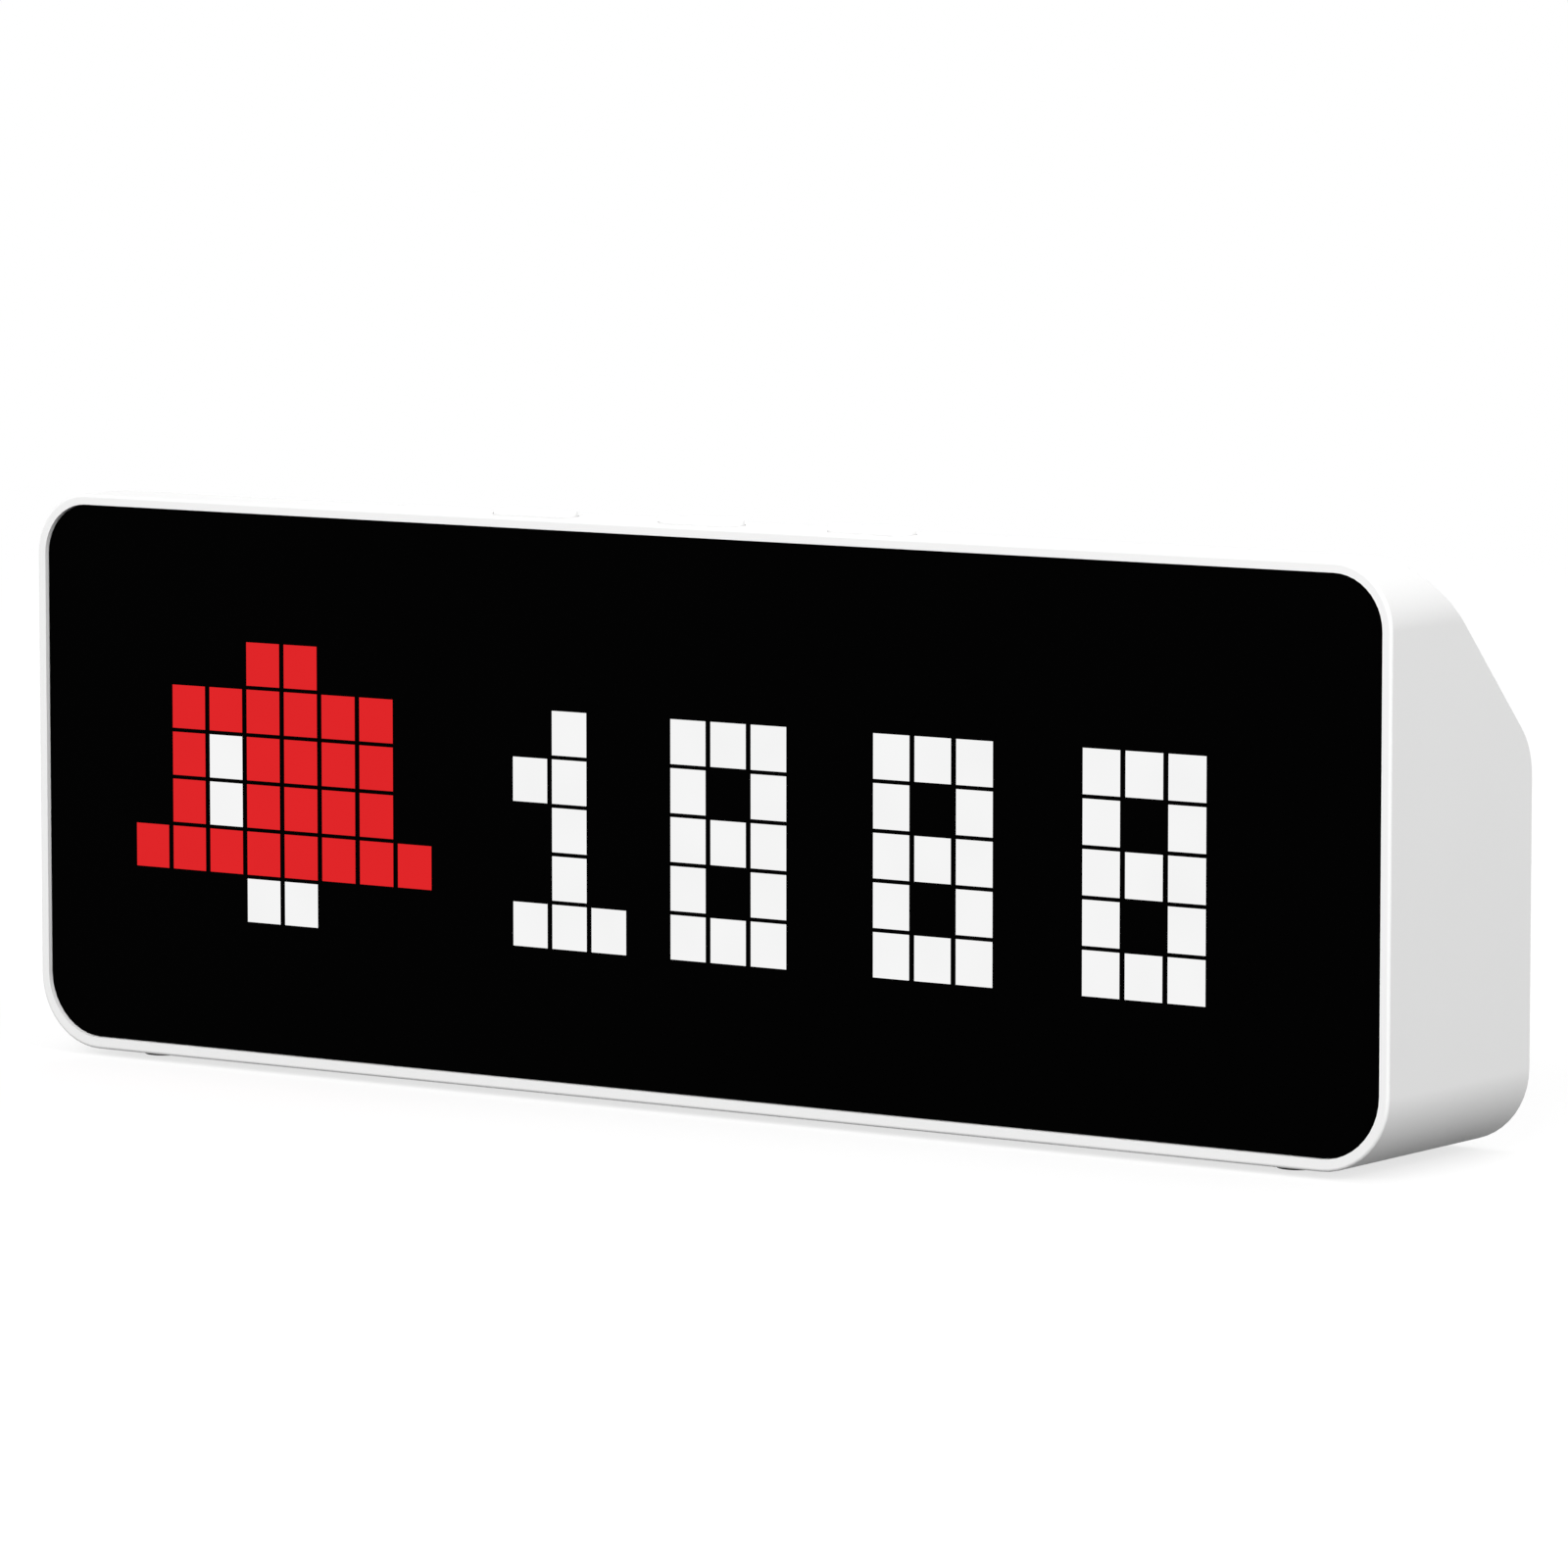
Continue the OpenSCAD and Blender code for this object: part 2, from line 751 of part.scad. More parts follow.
module usb_shell() {
    color("silver")
        slab(usb_front, usb_rear)
            translate([0, usb_z])
                difference() {
                    pill(usb_w, usb_h);
                    pill(usb_w - 2 * usb_t, usb_h - 2 * usb_t);
                }
}

module usb_tongue() {
    shrink = 2 * (usb_t + tongue_gap);
    color([0.1, 0.1, 0.1]) {
        slab(usb_front, usb_front + tongue_base_l)
            translate([0, usb_z]) pill(usb_w - shrink, usb_h - shrink);
        block(0, tongue_w, usb_front + tongue_base_l / 2, usb_front + tongue_base_l + tongue_l,
            usb_z - tongue_t / 2, usb_z + tongue_t / 2);
    }
}

module power_switch() {
    color("silver")
        difference() {
            block(power_x, power_switch_w, power_switch_rear - power_switch_d, power_switch_rear,
                main_top, main_top + power_switch_h);
            depth_bar(power_x, power_z, power_switch_rear - plunger_in - plunger_h,
                power_switch_rear + over, plunger_d / 2 + plunger_gap);
        }
}

module power_plunger() {
    color("dimgray")
        depth_bar(power_x, power_z, power_switch_rear - plunger_in,
            power_switch_rear + plunger_h, plunger_d / 2);
}

module power_button() {
    color("white") {
        depth_bar(power_x, power_z, power_flange_rear - flange_t, power_flange_rear,
            power_d / 2 + flange_reach);
        depth_bar(power_x, power_z, power_flange_rear - flange_t, body_d - power_recess, power_d / 2);
    }
}

module buzzer() {
    color([0.1, 0.1, 0.1])
        translate([-buzzer_x, front_y + main_mid, main_top]) cylinder(d = buzzer_d, h = buzzer_h);
}

module radio_board() {
    color("darkblue")
        block(radio_x, radio_w, radio_mid - radio_d / 2, radio_mid + radio_d / 2,
            main_top, main_top + radio_t);
}

module radio_can() {
    half = radio_d / 2 - can_margin;
    left = radio_x - radio_w / 2 + can_margin;
    color("silver")
        block(left + can_w / 2, can_w, radio_mid - half, radio_mid + half,
            main_top + radio_t, main_top + radio_t + can_h);
}

module main_chips() {
    color([0.1, 0.1, 0.1])
        for (i = [-1 : 1])
            block(i * chip_pitch, chip_w, main_mid - chip_w / 2, main_mid + chip_w / 2,
                main_top, main_top + chip_h);
}

module climate_sensor() {
    color("white")
        block(-climate_x, climate_w, climate_d - climate_w / 2, climate_d + climate_w / 2,
            main_top, main_top + climate_h);
}

module battery_pack() {
    color("royalblue")
        translate([0, front_y + battery_d, battery_z])
            rotate([90, 0, 90])
                linear_extrude(battery_l, center = true)
                    plate(battery_t, 0, battery_h, battery_r, battery_r);
}

module battery_tray() {
    room_l = battery_l + 2 * tray_gap;
    room_t = battery_t + 2 * tray_gap;
    color([0.2, 0.2, 0.2])
        difference() {
            block(0, room_l + 2 * tray_t, battery_d - room_t / 2 - tray_t,
                battery_d + room_t / 2 + tray_t, floor_z, battery_z + tray_h);
            block(0, room_l, battery_d - room_t / 2, battery_d + room_t / 2,
                battery_z, battery_z + tray_h + over);
        }
}

module battery_socket() {
    color("ivory")
        block(battery_socket_x, battery_socket_w, battery_d - battery_socket_d / 2,
            battery_d + battery_socket_d / 2, main_bottom - battery_socket_h, main_bottom);
}

module battery_wires() {
    color("red")
        for (side = [-1, 1])
            translate([battery_socket_x + side * wire_pitch / 2, front_y + battery_d, battery_top])
                cylinder(d = wire_d, h = main_bottom - battery_socket_h - battery_top);
}

// Half of a foot's section: a puck with a round lower edge
module foot_section() {
    flat_r = foot_d / 2 - foot_round;
    tall = foot_h + foot_pocket;
    square([flat_r, tall]);
    translate([0, foot_round]) square([foot_d / 2, tall - foot_round]);
    intersection() {
        translate([flat_r, foot_round]) circle(foot_round);
        square([foot_d / 2, foot_round]);
    }
}

module foot(x, d) {
    color([0.25, 0.25, 0.25])
        translate([x, front_y + d, 0])
            rotate_extrude() foot_section();
}

housing();
front_panel();
panel_tape();
diffuser_film();
pixel_baffle();
light_board();
leds();
light_sensor();
light_board_screws();
top_button(0);  // left_button
top_button(1);  // select_button
top_button(2);  // right_button
top_plunger(0);  // left_plunger
top_plunger(1);  // select_plunger
top_plunger(2);  // right_plunger
top_switch(0);  // left_switch
top_switch(1);  // select_switch
top_switch(2);  // right_switch
button_board();
button_board_screws();
ribbon(button_ribbon_top - button_ribbon_l, button_ribbon_top);  // button_ribbon
board_connector(button_ribbon_top);  // button_connector
back_connector(button_ribbon_top - button_ribbon_l - connector_h);  // button_link_connector
main_board();
main_board_screws();
ribbon(ribbon_bottom, ribbon_bottom + ribbon_l);  // light_ribbon
back_connector(ribbon_bottom + ribbon_l);  // light_connector
board_connector(main_top);  // main_connector
usb_shell();
usb_tongue();
power_switch();
power_plunger();
power_button();
buzzer();
radio_board();
radio_can();
main_chips();
climate_sensor();
battery_pack();
battery_tray();
battery_socket();
battery_wires();
foot(-foot_x, foot_front_d);  // front_left_foot
foot(foot_x, foot_front_d);  // front_right_foot
foot(-foot_x, foot_rear_d);  // rear_left_foot
foot(foot_x, foot_rear_d);  // rear_right_foot
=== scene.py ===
# %% [markdown]
# # Dressing a desk pixel clock
# The clock is a white moulded case with a sloped back. A matt black panel fills its front, and a
# matrix of small lights shines through it as square pixels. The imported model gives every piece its
# exact size and place. This lesson gives the pieces their finish, softens the edges that moulding
# would soften, lights the pixels, and sets up the studio and the camera.

# %% Load the frame
import json
import math

import bmesh
import bpy
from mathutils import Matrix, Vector


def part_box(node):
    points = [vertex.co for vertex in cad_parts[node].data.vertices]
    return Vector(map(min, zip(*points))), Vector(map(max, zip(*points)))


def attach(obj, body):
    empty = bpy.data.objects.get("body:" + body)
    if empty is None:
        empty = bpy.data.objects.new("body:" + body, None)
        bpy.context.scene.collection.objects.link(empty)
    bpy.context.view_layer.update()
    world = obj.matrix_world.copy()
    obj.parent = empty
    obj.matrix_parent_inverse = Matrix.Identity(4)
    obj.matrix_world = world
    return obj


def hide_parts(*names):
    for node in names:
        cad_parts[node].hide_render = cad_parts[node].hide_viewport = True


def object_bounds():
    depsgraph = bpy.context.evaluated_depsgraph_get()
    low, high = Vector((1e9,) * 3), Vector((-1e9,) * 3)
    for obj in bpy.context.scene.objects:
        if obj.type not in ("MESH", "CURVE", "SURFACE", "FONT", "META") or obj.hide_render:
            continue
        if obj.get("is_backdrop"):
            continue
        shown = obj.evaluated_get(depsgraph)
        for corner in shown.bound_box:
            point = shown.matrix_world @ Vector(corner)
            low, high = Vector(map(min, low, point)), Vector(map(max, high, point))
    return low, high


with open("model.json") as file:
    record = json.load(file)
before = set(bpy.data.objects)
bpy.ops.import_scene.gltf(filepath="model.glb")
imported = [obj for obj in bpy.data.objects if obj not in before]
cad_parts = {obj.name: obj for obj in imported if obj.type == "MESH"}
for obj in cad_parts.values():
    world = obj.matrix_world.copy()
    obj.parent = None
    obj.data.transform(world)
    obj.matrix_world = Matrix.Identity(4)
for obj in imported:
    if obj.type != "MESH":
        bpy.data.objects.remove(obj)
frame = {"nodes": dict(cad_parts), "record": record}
cad_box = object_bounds()
nodes = frame["nodes"]
MM = 0.001

# %% [markdown]
# ## Where things are
# The case, the panel and the light sources are nodes of the frame. Their places could be typed in
# again, but such copies go wrong as soon as the model changes. So nothing is measured twice: the
# nodes' boxes give the front plane, the panel's face and the pitch of the pixels.

# %% Places taken from the frame
COLUMNS, ROWS = 32, 8
LED_WIDTH = 3.5 * MM

case_low, case_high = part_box("housing")
case_middle = (case_low + case_high) / 2
panel_face_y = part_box("front_panel")[0].y
leds_low, leds_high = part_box("leds")
pixel_pitch = (leds_high.x - leds_low.x - LED_WIDTH) / (COLUMNS - 1)
first_pixel_x = leds_low.x + LED_WIDTH / 2
first_pixel_z = leds_low.z + LED_WIDTH / 2
print("pixel pitch", round(pixel_pitch / MM, 3), "mm, case", (case_high - case_low) / MM)

# %% [markdown]
# ## Writing shaders as sums
# A finish is a small network of nodes. It could be wired socket by socket, but then the sum that it
# works out is hard to read. `Value` wraps one socket, so that `0.4 + 0.1 * grain` adds the Math
# nodes by itself. `Network` wraps one tree, and its `node` method makes any other node: its settings
# first, then the values or links of its sockets. The same two classes build the finishes, the world
# and the Geometry Nodes tree. `Finish` adds what a material needs.

# %% One socket in a sum
class Value:
    """One output socket that can stand in a sum."""

    def __init__(self, network, socket):
        self.network = network
        self.socket = socket

    def _math(self, operation, first, second):
        return self.network.node("ShaderNodeMath", {"operation": operation}, {0: first, 1: second})

    def __add__(self, other):
        return self._math("ADD", self, other)

    def __radd__(self, other):
        return self._math("ADD", other, self)

    def __mul__(self, other):
        return self._math("MULTIPLY", self, other)

    def __rmul__(self, other):
        return self._math("MULTIPLY", other, self)

    def most(self, other):
        """The larger of two values."""
        return self._math("MAXIMUM", self, other)


print("sockets can be added, multiplied and compared")


# %% One tree
class Network:
    """A tree that is built one node at a time."""

    def __init__(self, tree):
        self.tree = tree

    def link(self, value, socket):
        """Link a value to a socket, or set the socket to a plain number or colour."""
        if isinstance(value, Value):
            self.tree.links.new(value.socket, socket)
        else:
            socket.default_value = value

    def node(self, kind, settings=None, inputs=None, output=0):
        """Make a node, set it up, feed its sockets and give back one of its outputs."""
        made = self.tree.nodes.new(kind)
        for name, setting in (settings or {}).items():
            setattr(made, name, setting)
        for name, value in (inputs or {}).items():
            self.link(value, made.inputs[name])
        if made.outputs:
            return Value(self, made.outputs[output])

    def seen(self):
        """One where the camera, a reflection or glass shows a thing, and zero where it lights."""
        rays = ("Is Camera Ray", "Is Glossy Ray", "Is Transmission Ray")
        camera, glossy, through = (self.node("ShaderNodeLightPath", output=ray) for ray in rays)
        return camera.most(glossy).most(through)


print("trees can be built node by node")

# %% One material
# A Mix node keeps sockets of every kind in one row. These are the places of its colours.
COLOUR_A, COLOUR_B, COLOUR_OUT = 6, 7, 2


class Finish(Network):
    """One material with a Principled shader."""

    def __init__(self, name):
        self.material = bpy.data.materials.new(name)
        self.material.use_nodes = True
        super().__init__(self.material.node_tree)
        self.shader = self.tree.nodes["Principled BSDF"]
        self.object_place = self.node("ShaderNodeTexCoord", output="Object")

    def set(self, **sockets):
        """Set or link sockets of the shader. An underscore stands for a space in their names."""
        for name, value in sockets.items():
            self.link(value, self.shader.inputs[name.replace("_", " ")])

    def grain(self, size, detail=2.0, roughness=0.5, place=None):
        """Noise from 0 to 1 whose blotches are about one size, in metres."""
        place = place or self.object_place
        sockets = {"Vector": place, "Scale": 1 / size, "Detail": detail, "Roughness": roughness}
        return self.node("ShaderNodeTexNoise", {"noise_dimensions": "3D"}, sockets)

    def bump(self, height, strength, distance):
        """Turn a height into a normal for the shader."""
        sockets = {"Strength": strength, "Distance": distance, "Height": height}
        self.set(Normal=self.node("ShaderNodeBump", inputs=sockets))

    def between(self, colour, other, mask):
        """Two colours, mixed by a mask."""
        sockets = {"Factor": mask, COLOUR_A: (*colour, 1.0), COLOUR_B: (*other, 1.0)}
        return self.node("ShaderNodeMix", {"data_type": "RGBA"}, sockets, output=COLOUR_OUT)

    def shade(self, colour, darker, mask):
        """Use two shades of a colour, mixed by a mask, as the base colour."""
        self.set(Base_Color=self.between(colour, darker, mask))


print("materials start from a Principled shader")


# %% Small helpers
def dimmed(colour, share):
    """A colour at a share of its brightness."""
    return tuple(share * part for part in colour)


def dress(piece, material):
    """Give a piece one material, in every slot that it has."""
    mesh = piece.data
    if not mesh.materials:
        mesh.materials.append(material)
    for index in range(len(mesh.materials)):
        mesh.materials[index] = material


def new_object(name, data):
    """An object in the scene that shows a mesh, a lamp or a lens."""
    made = bpy.data.objects.new(name, data)
    bpy.context.scene.collection.objects.link(made)
    return made


print("helpers ready")

# %% [markdown]
# ## White moulded plastic
# The case and its buttons are one white plastic, moulded in a tool with a very fine spark texture.
# From a step away it looks even and satin. Close up, the texture breaks up the highlights. A picture
# of it would need a UV map and would blur close up, so noise on Object coordinates is used: one
# noise finer than a fifth of a millimetre for the texture's height, and one of about two
# centimetres for the slight drift in gloss that any moulding has.

# %% Case plastic
CASE_WHITE = (0.83, 0.83, 0.828)
DRIFT_SHADE = 0.985
SPARK_SIZE, GLOSS_DRIFT_SIZE = 0.14 * MM, 18 * MM


def moulded_plastic(name, colour, roughness):
    """Satin plastic with a spark texture and a slight drift in gloss."""
    finish = Finish(name)
    texture = finish.grain(SPARK_SIZE, detail=3.0, roughness=0.6)
    drift = finish.grain(GLOSS_DRIFT_SIZE, detail=1.0)
    finish.shade(colour, dimmed(colour, DRIFT_SHADE), drift)
    finish.set(Roughness=roughness + 0.06 * drift + 0.05 * texture, Specular_IOR_Level=0.25)
    finish.bump(texture, strength=0.12, distance=0.02 * MM)
    return finish.material


case_plastic = moulded_plastic("case_plastic", CASE_WHITE, roughness=0.46)
button_plastic = moulded_plastic("button_plastic", CASE_WHITE, roughness=0.40)
print("made", case_plastic.name, "and", button_plastic.name)

# %% [markdown]
# ## Softened edges
# A moulded or pressed edge is never a perfect corner: it catches a thin line of light. A shader can
# fake that line, but the exported mesh would stay sharp, so the edges are really rounded. The
# frame's meshes are loose triangles. A copy is welded, its flat areas are made whole, and a Bevel
# modifier rounds each edge that turns by more than a set angle. A Weighted Normal modifier keeps the
# large flat areas flat in the light, beside their rounded edges. The modifiers are turned into plain
# mesh, so nothing is left to evaluate, and the rounded copy then stands for the node.

# %% From modifiers to plain mesh
def plain_mesh(piece):
    """Replace a piece's mesh by what its modifiers make of it."""
    graph = bpy.context.evaluated_depsgraph_get()
    made = bpy.data.meshes.new_from_object(piece.evaluated_get(graph))
    piece.modifiers.clear()
    piece.data = made
    made.name = piece.name


print("modifiers can be turned into mesh")

# %% Rounded copies of nodes
WELD = 0.002 * MM
FLAT_TURN = math.radians(0.2)
EDGE_TURN = math.radians(32)


def welded_mesh(node):
    """A node's triangles, welded, with its flat areas made whole."""
    welded = bmesh.new()
    welded.from_mesh(nodes[node].data)
    bmesh.ops.remove_doubles(welded, verts=welded.verts, dist=WELD)
    bmesh.ops.dissolve_limit(welded, angle_limit=FLAT_TURN, verts=welded.verts, edges=welded.edges)
    mesh = bpy.data.meshes.new(node + "_rounded")
    welded.to_mesh(mesh)
    welded.free()
    mesh.shade_smooth()
    return mesh


def rounded_copy(node, radius, steps=3):
    """A welded copy of a node with its sharp edges rounded."""
    piece = new_object(node + "_rounded", welded_mesh(node))
    bevel = piece.modifiers.new("edges", "BEVEL")
    bevel.width = radius
    bevel.segments = steps
    bevel.limit_method = "ANGLE"
    bevel.angle_limit = EDGE_TURN
    bevel.use_clamp_overlap = True
    normals = piece.modifiers.new("flat areas", "WEIGHTED_NORMAL")
    normals.keep_sharp = True
    plain_mesh(piece)
    return piece


def stand_for(piece, node, body):
    """Let a piece take a node's place on a body."""
    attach(piece, body)
    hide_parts(node)


print("edges that turn by", round(math.degrees(EDGE_TURN)), "degrees or more are rounded")

# %% The case
CASE_EDGE = 0.15 * MM

case = rounded_copy("housing", CASE_EDGE)
dress(case, case_plastic)
stand_for(case, "housing", "clock")
print("case:", len(case.data.polygons), "faces")

# %% Top buttons and power button
CAP_EDGE = 0.3 * MM

for name in ("left", "select", "right", "power"):
    cap = rounded_copy(name + "_button", CAP_EDGE, steps=4)
    dress(cap, button_plastic)
    stand_for(cap, name + "_button", name + "_button")
print("four button caps rounded by", CAP_EDGE / MM, "mm")

# %% [markdown]
# ## The black panel
# The panel is tinted acrylic with an etched, light-swallowing face. Real tinted glass over a dark
# box would look black too, but it would mirror the soft boxes. The panel has to stay nearly black
# under a bright studio, so its diffuse colour is very dark and its specular level is low. A fine
# noise in the roughness keeps what little it reflects from looking like a mirror.

# %% Panel finish
PANEL_BLACK, PANEL_DEEPER = (0.0005, 0.0005, 0.0005), (0.0003, 0.0003, 0.0003)
ETCH_SIZE, PANEL_DRIFT_SIZE = 0.09 * MM, 25 * MM


def etched_panel():
    """Nearly black acrylic with a finely etched face."""
    finish = Finish("etched_panel")
    etch = finish.grain(ETCH_SIZE)
    drift = finish.grain(PANEL_DRIFT_SIZE, detail=1.0)
    finish.shade(PANEL_BLACK, PANEL_DEEPER, drift)
    finish.set(Roughness=0.5 + 0.1 * etch, Specular_IOR_Level=0.004)
    finish.bump(etch, strength=0.08, distance=0.01 * MM)
    return finish.material


dress(nodes["front_panel"], etched_panel())
print("panel dressed")

# %% [markdown]
# ## Lit pixels
# Each lit pixel shows as a flat square of light on the panel. The lights inside could shine through
# a real film, but that takes very many samples, and the exported model would lose it. So a thin tile
# of light lies on the panel in front of each light source that is on. The picture is kept as rows of
# letters, one for each pixel: R is red, W is white and a dot is dark. A point marks the middle of
# each lit pixel, and a Geometry Nodes tree sets a tile on every point. The tree ends in Realize
# Instances and Set Material, and its result is turned into plain mesh.

# %% The picture on the matrix
BELL = [
    "...RR...",
    ".RRRRRR.",
    ".RWRRRR.",
    ".RWRRRR.",
    "RRRRRRRR",
    "...WW...",
]
FIGURES = {
    "1": [".W.", "WW.", ".W.", ".W.", "WWW"],
    "8": ["WWW", "W.W", "WWW", "W.W", "WWW"],
}
BELL_COLUMN, BELL_ROW = 2, 1
FIGURE_ROW = 2
FIGURE_COLUMNS = [("1", 12), ("8", 16), ("8", 21), ("8", 26)]


def lit_pixels():
    """Every lit pixel as (column, row from the top, letter)."""
    shapes = [(BELL, BELL_COLUMN, BELL_ROW)]
    shapes += [(FIGURES[figure], column, FIGURE_ROW) for figure, column in FIGURE_COLUMNS]
    for shape, left, top in shapes:
        for down, line in enumerate(shape):
            for across, letter in enumerate(line):
                if letter != ".":
                    yield left + across, top + down, letter


def pixel_middle(column, row):
    """The middle of a pixel on the panel's face."""
    x = first_pixel_x + column * pixel_pitch
    z = first_pixel_z + (ROWS - 1 - row) * pixel_pitch
    return Vector((x, panel_face_y, z))


print("lit pixels:", len(list(lit_pixels())))

# %% A tree that sets a tile on each point
TILE_SIZE = {"Tile Width": 5.2 * MM, "Tile Depth": 0.03 * MM, "Tile Height": 5.45 * MM}


def tile_tree():
    """A Geometry Nodes tree with the tile's three sizes and its finish as named inputs."""
    tree = bpy.data.node_groups.new("tiles_on_points", "GeometryNodeTree")
    inputs = {"Points": "NodeSocketGeometry", "Tile Finish": "NodeSocketMaterial"}
    inputs.update({name: "NodeSocketFloat" for name in TILE_SIZE})
    for name, kind in inputs.items():
        tree.interface.new_socket(name, in_out="INPUT", socket_type=kind)
    tree.interface.new_socket("Tiles", in_out="OUTPUT", socket_type="NodeSocketGeometry")
    network = Network(tree)
    given = {name: network.node("NodeGroupInput", output=name) for name in inputs}
    edges = dict(zip("XYZ", (given[name] for name in TILE_SIZE)))
    size = network.node("ShaderNodeCombineXYZ", inputs=edges)
    tile = network.node("GeometryNodeMeshCube", inputs={"Size": size})
    points = network.node("GeometryNodeMeshToPoints", inputs={"Mesh": given["Points"]})
    spread = {"Points": points, "Instance": tile}
    placed = network.node("GeometryNodeInstanceOnPoints", inputs=spread)
    real = network.node("GeometryNodeRealizeInstances", inputs={"Geometry": placed})
    paint = {"Geometry": real, "Material": given["Tile Finish"]}
    painted = network.node("GeometryNodeSetMaterial", inputs=paint)
    network.node("NodeGroupOutput", inputs={"Tiles": painted})
    return tree


def tree_input(tree, name):
    """The identifier of a tree's named input."""
    for item in tree.interface.items_tree:
        if item.name == name and item.in_out == "INPUT":
            return item.identifier


tiles_on_points = tile_tree()
print("tile tree has", len(tiles_on_points.nodes), "nodes")

# %% Finish of the light
RED_LIGHT, WHITE_LIGHT = (0.754, 0.0135, 0.0162), (0.92, 0.92, 0.92)
PIXEL_DRIFT_SIZE = 7 * MM
PIXEL_DRIFT_SHADE = 0.96
TILE_BLACK = (0.002, 0.002, 0.002, 1.0)


def lit_finish(name, colour):
    """Light seen through the panel: even, with a very slight drift from pixel to pixel."""
    finish = Finish(name)
    drift = finish.grain(PIXEL_DRIFT_SIZE, detail=0.0)
    light = finish.between(colour, dimmed(colour, PIXEL_DRIFT_SHADE), drift)
    finish.set(Base_Color=TILE_BLACK, Roughness=0.5, Specular_IOR_Level=0.03)
    finish.set(Emission_Color=light, Emission_Strength=1.0)
    return finish.material


red_light = lit_finish("red_light", RED_LIGHT)
white_light = lit_finish("white_light", WHITE_LIGHT)
print("made", red_light.name, "and", white_light.name)

# %% Tiles of light
TILE_FACES = 6


def light_up(name, letter, material):
    """Set a tile on each pixel of one letter, as one piece of the clock."""
    lift = Vector((0, -TILE_SIZE["Tile Depth"] / 2, 0))
    spots = [pixel_middle(c, r) + lift for c, r, hue in lit_pixels() if hue == letter]
    points = bpy.data.meshes.new(name)
    points.from_pydata(spots, [], [])
    piece = new_object(name, points)
    modifier = piece.modifiers.new("tiles", "NODES")
    modifier.node_group = tiles_on_points
    for label, size in TILE_SIZE.items():
        modifier[tree_input(tiles_on_points, label)] = size
    modifier[tree_input(tiles_on_points, "Tile Finish")] = material
    plain_mesh(piece)
    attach(piece, "clock")
    print(name, "has", len(piece.data.polygons) // TILE_FACES, "tiles")


light_up("red_pixels", "R", red_light)
light_up("white_pixels", "W", white_light)

# %% [markdown]
# ## Rubber feet
# Four dark pads sit in shallow pockets under the case. Moulded rubber is matt, with a dusty bloom
# that makes it paler here and there. One flat grey would do from afar, but it looks like paint close
# up, so one noise mixes two greys for the bloom and a finer one roughens the skin.

# %% Feet
FOOT_EDGE = 0.3 * MM
RUBBER_PALE, RUBBER_DARK = (0.045, 0.045, 0.046), (0.028, 0.028, 0.029)
BLOOM_SIZE, SKIN_SIZE = 1.6 * MM, 0.2 * MM


def soft_rubber():
    """Matt rubber with a dusty bloom."""
    finish = Finish("soft_rubber")
    bloom = finish.grain(BLOOM_SIZE, detail=3.0)
    skin = finish.grain(SKIN_SIZE)
    finish.shade(RUBBER_PALE, RUBBER_DARK, bloom)
    finish.set(Roughness=0.78 + 0.12 * skin)
    finish.bump(skin, strength=0.25, distance=0.03 * MM)
    return finish.material


rubber = soft_rubber()
for corner in ("front_left", "front_right", "rear_left", "rear_right"):
    foot = rounded_copy(corner + "_foot", FOOT_EDGE)
    dress(foot, rubber)
    stand_for(foot, corner + "_foot", "clock")
print("four feet dressed")

# %% [markdown]
# ## Metal and what is inside
# The charging socket's shell, the screws, the switch covers and the radio's can are plated steel:
# fully metallic, with fine lines from rolling that run along one axis. A Mapping node stretches a
# noise along that axis, which is simpler than drawing lines and works on every piece. The circuit
# boards, chips, connectors and the battery are hardly seen, so plain plastics with a little
# unevenness each are enough for them. A table holds their colours.

# %% Plated steel
STEEL_PALE, STEEL_DARK = (0.62, 0.62, 0.63), (0.52, 0.52, 0.53)
ROLLING_SIZE = 0.12 * MM
ROLLING_STRETCH = (0.06, 1.0, 1.0)


def plated_steel():
    """Bright metal with fine lines along one axis."""
    finish = Finish("plated_steel")
    along = {"Vector": finish.object_place, "Scale": ROLLING_STRETCH}
    stretched = finish.node("ShaderNodeMapping", inputs=along)
    lines = finish.grain(ROLLING_SIZE, place=stretched)
    finish.shade(STEEL_PALE, STEEL_DARK, lines)
    finish.set(Metallic=1.0, Roughness=0.26 + 0.14 * lines)
    finish.bump(lines, strength=0.1, distance=0.01 * MM)
    return finish.material


steel = plated_steel()
print("made", steel.name)

# %% Finishes for the inner pieces
MOTTLE_SHADE = 0.85


def plain_finish(name, colour, roughness, blotch):
    """An even material with a little unevenness of one size."""
    finish = Finish(name)
    mottle = finish.grain(blotch)
    finish.shade(colour, dimmed(colour, MOTTLE_SHADE), mottle)
    finish.set(Roughness=roughness + 0.08 * mottle)
    finish.bump(mottle, strength=0.1, distance=0.02 * MM)
    return finish.material


